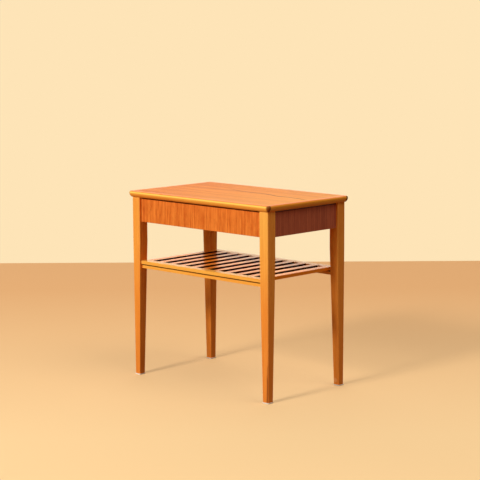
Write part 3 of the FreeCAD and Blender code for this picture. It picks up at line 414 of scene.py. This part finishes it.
def corner_darkening(x, width, reach, depth):
    """A darker band on the front of a leg, which climbs from the floor along its side at one x."""
    def share(g, place):
        across, _, up = g.parts(place)
        ragged = g.noise(place, (300.0, 300.0, 25.0), detail=3.0)
        aside = g.math("ABSOLUTE", g.math("SUBTRACT", across, x))
        aside = g.math("MULTIPLY_ADD", g.math("SUBTRACT", ragged, 0.5), width, aside)
        narrowing = g.math("MULTIPLY_ADD", up, width / reach, aside)
        corner_dark = g.spread(narrowing, 0.6 * width, 1.2 * width, depth, 0.0, smooth=True)
        return g.math("MULTIPLY", corner_dark, facing_front(g))

    return share


def rubbed_patch(centre, radius, depth):
    """A pale scuffed patch round one point."""
    def share(g, place):
        ragged = g.noise(place, (400.0, 400.0, 160.0), detail=4.0)
        distance = g.math("MULTIPLY_ADD", ragged, radius, g.vectors("DISTANCE", place, centre))
        return g.spread(distance, 0.8 * radius, 1.5 * radius, depth, 0.0, smooth=True)

    return share


def sloping(low, high, depth):
    """The part of a rounded edge whose slope lies between two values of the normal's Z."""
    def share(g, _):
        upward = g.parts(g.facing())["Z"]
        start = g.spread(upward, low - 0.12, low + 0.12, smooth=True)
        stop = g.spread(upward, high - 0.06, high + 0.06, depth, 0.0, smooth=True)
        return g.math("MULTIPLY", start, stop)

    return share


# ---- other materials ----
def core_board():
    """Raw pressed board, of chips glued flat."""
    pale, deep, dusty = (204, 166, 118), (150, 108, 66), (222, 194, 150)
    g = Graph(bpy.data.materials.new("core_board"))
    place = g.place()
    chips = {"Vector": g.vectors("MULTIPLY", place, (420.0, 420.0, 1100.0)), "Scale": 1.0, "Randomness": 1.0}
    chip = g.node("TexVoronoi", chips, feature="F1").outputs
    tint = g.node("SeparateColor", {0: chip["Color"]}).outputs["Red"]
    dust_and_shade = g.noise(place, (900.0, 900.0, 900.0))
    colour = g.mix(tint, linear(pale), linear(deep))
    return g.finish(
        Base_Color=g.mix(g.math("MULTIPLY", dust_and_shade, 0.35), colour, linear(dusty)),
        Roughness=g.spread(dust_and_shade, *NOISE_RANGE, 0.75, 0.92),
        Normal=g.bump(chip["Distance"], 0.0003),
    )


def plywood():
    """Thin birch plywood, pale and close-grained, with its plies on the edge."""
    pale, deep, fibrous, glued = (232, 206, 164), (206, 168, 118), (184, 142, 96), (150, 108, 70)
    ply_thickness = 0.0013
    g = Graph(bpy.data.materials.new("plywood"))
    place = g.place()
    figure = g.noise(place, (5.0, 60.0, 60.0), detail=4.0, roughness=0.6, distortion=0.6)
    fibre = g.noise(place, (20.0, 800.0, 800.0), detail=3.0)
    ply = g.spread(g.math("PINGPONG", g.parts(place)["Z"], ply_thickness), 0.0, ply_thickness)
    colour = g.mix(g.spread(figure, 0.35, 0.7), linear(pale), linear(deep))
    colour = g.mix(g.math("MULTIPLY", g.spread(fibre, 0.4, 0.7), 0.35), colour, linear(fibrous))
    return g.finish(
        Base_Color=g.mix(g.math("MULTIPLY", ply, 0.12), colour, linear(glued)),
        Roughness=g.spread(fibre, *NOISE_RANGE, 0.5, 0.66),
        Normal=g.bump(fibre, 0.00006),
    )


def zinc_steel():
    """Dull zinc on screws and nails, brushed and a little spotted."""
    bright, spotted = (186, 184, 178), (138, 132, 122)
    g = Graph(bpy.data.materials.new("zinc_steel"))
    place = g.place()
    spots = g.noise(place, (700.0, 700.0, 700.0), detail=4.0, roughness=0.65)
    brush = g.noise(place, (3000.0, 3000.0, 300.0))
    return g.finish(
        Base_Color=g.mix(g.spread(spots, 0.4, 0.7), linear(bright), linear(spotted)),
        Metallic=1.0,
        Roughness=g.spread(g.math("ADD", spots, brush), 0.7, 1.3, 0.32, 0.55),
        Normal=g.bump(brush, 0.00003),
    )


def pad_plastic():
    """Off-white plastic glides, scuffed and greyer towards the floor."""
    clean, grimy = (248, 244, 234), (186, 174, 150)
    grimy_height = 0.003
    g = Graph(bpy.data.materials.new("pad_plastic"))
    place = g.place()
    pebble = g.noise(place, (2600.0, 2600.0, 2600.0))
    scuff = g.noise(place, (90.0, 90.0, 700.0), detail=4.0, roughness=0.7)
    near_floor = g.spread(g.parts(place)["Z"], 0.0, grimy_height, 1.0, 0.25)
    grime = g.math("MULTIPLY", g.spread(scuff, 0.42, 0.7), near_floor)
    return g.finish(
        Base_Color=g.mix(grime, linear(clean), linear(grimy)),
        Roughness=g.spread(scuff, *NOISE_RANGE, 0.42, 0.62),
        Normal=g.bump(pebble, 0.00005),
    )


# ---- which piece is made of what ----
def dress(material, *names):
    """Gives CAD pieces a material in each of their slots."""
    for name in names:
        for slot in NODES[name].material_slots:
            slot.material = material


def starting(prefix):
    """The names of the pieces that start with some letters, in order."""
    return sorted(name for name in NODES if name.startswith(prefix))


def dress_timber(names, grain, style, marks=()):
    """Gives each piece timber of its own, with its grain along one axis."""
    for name in names:
        dress(timber(name, grain, style, marks), name)


def dress_top():
    """The two veneers, the board between them and the moulding round them."""
    dark_line = mineral_line(start=(-0.06, 0.053), end=(0.25, 0.008), width=0.0042, sway=0.03, depth=0.95)
    top_marks = [(sun_bleach(depth=0.42), BLEACHED_TINT), (dark_line, MINERAL_TINT)]
    dress_timber(["top_veneer"], "x", TEAK_VENEER, top_marks)
    dress_timber(["underside_veneer"], "x", TEAK_VENEER)
    dress(core_board(), "top_core")
    flat = (sloping(low=0.66, high=2.0, depth=0.9), VENEER_TINT)
    # Painted highlights on the rounds of the mouldings.
    long_highlight = (sloping(low=-0.1, high=0.55, depth=0.85), LONG_HIGHLIGHT_TINT)
    side_highlight = (sloping(low=-0.3, high=0.6, depth=0.9), SIDE_HIGHLIGHT_TINT)
    dress_timber(["edge_moulding_front", "edge_moulding_back"], "x", TEAK_MOULDING, [long_highlight, flat])
    dress_timber(["edge_moulding_left", "edge_moulding_right"], "y", TEAK_MOULDING, [side_highlight, flat])


def dress_frame():
    """Legs, aprons and the rails inside them."""
    # The legs grow darker and redder towards the floor.
    towards_floor = (floor_deepening(reach=0.4, depth=0.55), FOOT_TINT)
    outer_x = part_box("foot_pad_front_right")[1].x
    # A darker band climbs the outer corner of the front right leg.
    corner_dark = (corner_darkening(x=outer_x, width=0.009, reach=0.13, depth=0.7), CORNER_DARK_TINT)
    pad_low, pad_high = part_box("foot_pad_back_right")
    scuff_place = ((pad_low.x + pad_high.x) / 2 - 0.004, pad_low.y, pad_high.z + 0.012)
    scuff = (rubbed_patch(scuff_place, radius=0.009, depth=0.7), SCUFF_TINT)
    # The fronts of the front legs take painted light.
    own_marks = {
        "leg_front_left": [(front_light(reach=0.285, depth=0.12), FRONT_LIGHT_TINT)],
        "leg_front_right": [(front_light(reach=0.285, depth=0.41), FRONT_LIGHT_TINT), corner_dark],
        "leg_back_right": [scuff],
    }
    for name in starting("leg_"):
        dress_timber([name], "z", TEAK_SOLID, [towards_floor] + own_marks.get(name, []))
    # Painted shade under the moulding, over the top of the aprons.
    under_moulding = (seam_shade("back_apron", reach=0.006), SHADE_TINT)
    dress_timber(["side_apron_left", "side_apron_right", "back_apron"], "z", TEAK_SHADED_APRON, [under_moulding])
    dress_timber(starting("cross_rail_"), "x", BEECH)
    dress_timber(starting("drawer_stop_"), "z", BEECH)
    dress_timber(starting("drawer_catch_") + starting("drawer_runner_"), "y", BEECH)
    dress_timber(["apron_dowels"], "x", BEECH)


def dress_drawer():
    """The drawer's front, its boards and its dividers."""
    # Painted shade under the moulding, over the top of the drawer front.
    under_moulding = (seam_shade("drawer_front", reach=0.0018), SHADE_TINT)
    dress_timber(["drawer_front"], "z", TEAK_FRONT, [under_moulding])
    dress_timber(["drawer_side_left", "drawer_side_right"], "y", BEECH)
    dress_timber(["drawer_back", "drawer_long_divider"], "x", BEECH)
    dress_timber(["drawer_front_divider"] + starting("drawer_rear_divider_"), "y", BEECH)
    dress(plywood(), "drawer_bottom")


def dress_shelf():
    """The stretchers, the two boards and the slats between them."""
    # Painted shadow under the shelf boards, over the top of the stretchers.
    under_board = (seam_shade("stretcher_front", reach=0.005), SHADE_TINT)
    dress_timber(starting("stretcher_"), "x", TEAK_SHELF, [under_board])
    dress_timber(starting("shelf_board_"), "x", TEAK_SHELF)
    slats = starting("shelf_slat_")
    # Painted shade on the sides of the slats, in the gaps between them.
    dust_and_shade = (gap_shade(outermost=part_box(slats[-1])[1].x), SHADE_TINT)
    dress_timber(slats, "y", TEAK_SLAT, [dust_and_shade])


def dress_fittings():
    """Screws, nails and the floor pads."""
    dress(zinc_steel(), *(name for name in NODES if name.endswith(("_screws", "_nails"))))
    dress(pad_plastic(), *(name for name in starting("foot_pad_") if name != "foot_pad_nails"))


# ---- the studio ----
def make_camera():
    """The camera, with a long lens, beyond the front right corner and twice as high as the table."""
    data = bpy.data.cameras.new("camera")
    data.lens = CAMERA_LENS
    data.sensor_width = CAMERA_SENSOR
    camera = bpy.data.objects.new("camera", data)
    camera.location = CAMERA_PLACE
    camera.rotation_euler = [math.radians(angle) for angle in CAMERA_TURN]
    bpy.context.scene.collection.objects.link(camera)
    bpy.context.scene.camera = camera


def add_lamp(name, kind, energy, towards):
    """A lamp that shines from a direction."""
    data = bpy.data.lights.new(name, kind)
    data.energy = energy
    data.color = linear(LAMP_COLOUR)[:3]
    lamp = bpy.data.objects.new(name, data)
    lamp.rotation_euler = Vector(towards).to_track_quat("Z", "Y").to_euler()
    bpy.context.scene.collection.objects.link(lamp)
    return lamp


def make_lamps():
    """A round key lamp high in front of the table, and broad soft lamps far off."""
    distance = Vector(KEY_PLACE).length
    key = add_lamp("key", "AREA", KEY_STRENGTH * math.pi * distance ** 2, KEY_PLACE)
    key.location = KEY_PLACE
    key.data.shape = "DISK"
    key.data.size = KEY_WIDTH
    for name, (towards, strength, spread) in BROAD_LAMPS.items():
        lamp = add_lamp(name, "SUN", strength, towards)
        lamp.data.angle = math.radians(spread)


def make_world():
    """Even light from all round, and a plain cream wall to look at and to reflect."""
    g = Graph(bpy.data.worlds.new("world"))
    ambient = g.tree.nodes["Background"]
    g.set(ambient.inputs["Color"], linear(AMBIENT_COLOUR))
    g.set(ambient.inputs["Strength"], AMBIENT_STRENGTH)
    wall = g.node("Background", {"Color": linear(WALL_COLOUR)})
    rays = g.node("LightPath").outputs
    seen = g.math("MAXIMUM", rays["Is Camera Ray"], rays["Is Glossy Ray"])
    seen = g.math("MAXIMUM", seen, rays["Is Transmission Ray"])
    room = g.node("MixShader", {0: seen, 1: ambient.outputs[0], 2: wall.outputs[0]})
    g.set(g.tree.nodes["World Output"].inputs["Surface"], room.outputs[0])
    bpy.context.scene.world = g.owner


def make_floor():
    """A plain pale floor, square to the camera, which ends at the wall."""
    bpy.ops.mesh.primitive_plane_add(
        size=2 * FLOOR_REACH,
        location=(0.0, 0.0, LOWEST.z),
        rotation=(0.0, 0.0, math.radians(CAMERA_TURN[2])),
    )
    floor = bpy.context.object
    floor.name = "floor"
    g = Graph(bpy.data.materials.new("floor"))
    rays = g.node("LightPath").outputs
    seen = g.math("MAXIMUM", rays["Is Camera Ray"], rays["Is Glossy Ray"])
    away = g.parts(g.place())["Y"]
    # Painted light falloff: the floor's colour darkens away from the camera.
    ground = g.mix(g.spread(away, *FLOOR_FADE), linear(FLOOR_NEAR), linear(FLOOR_FAR))
    lit = g.vectors("MULTIPLY", ground, (FLOOR_LIT, FLOOR_LIT, FLOOR_LIT))
    floor.data.materials.append(g.finish(
        Base_Color=g.mix(seen, linear(FLOOR_GIVEN_BACK), lit),
        Roughness=0.9,
        Specular_IOR_Level=0.1,
        Emission_Color=ground,
        Emission_Strength=g.math("MULTIPLY", seen, FLOOR_GLOW),
    ))


# The order of these calls settles which part of the log each piece is cut from.
dress_top()
dress_frame()
dress_drawer()
dress_shelf()
dress_fittings()
make_camera()
make_lamps()
make_world()
make_floor()
bpy.context.scene.view_settings.view_transform = "Standard"
